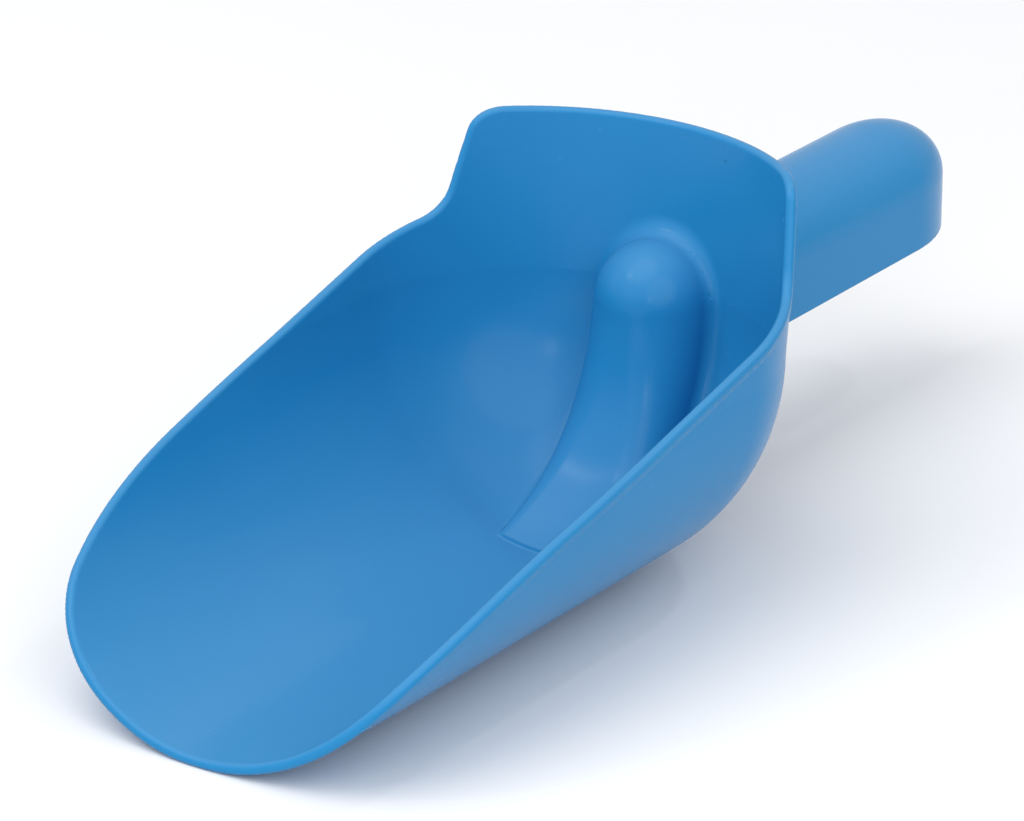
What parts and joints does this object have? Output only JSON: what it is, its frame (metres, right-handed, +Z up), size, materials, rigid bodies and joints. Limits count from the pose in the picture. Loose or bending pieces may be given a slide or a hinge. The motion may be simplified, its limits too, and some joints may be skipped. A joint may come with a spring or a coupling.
{
  "type": "feed scoop",
  "caption": "One-piece blue plastic hand scoop with a deep round-bottomed bowl, raised curved back wall and a hollow straight handle, for scooping and carrying dry animal feed.",
  "frame": {"origin": "under the middle of the scoop's bounding box, on the surface it stands on", "axes": "+Z up, the mouth of the bowl faces -Y, the handle runs to +Y, +X is to the right when looking from the mouth along +Y"},
  "size_m": [0.1446, 0.39, 0.1213],
  "materials": {
    "blue_plastic": "satin"
  },
  "bodies": {
    "root": {"bowl_trough": "blue_plastic", "bowl_heel": "blue_plastic", "back_wall": "blue_plastic", "rim_bead": "blue_plastic", "finger_boss": "blue_plastic", "handle_grip": "blue_plastic", "handle_end": "blue_plastic"}
  },
  "joints": []
}
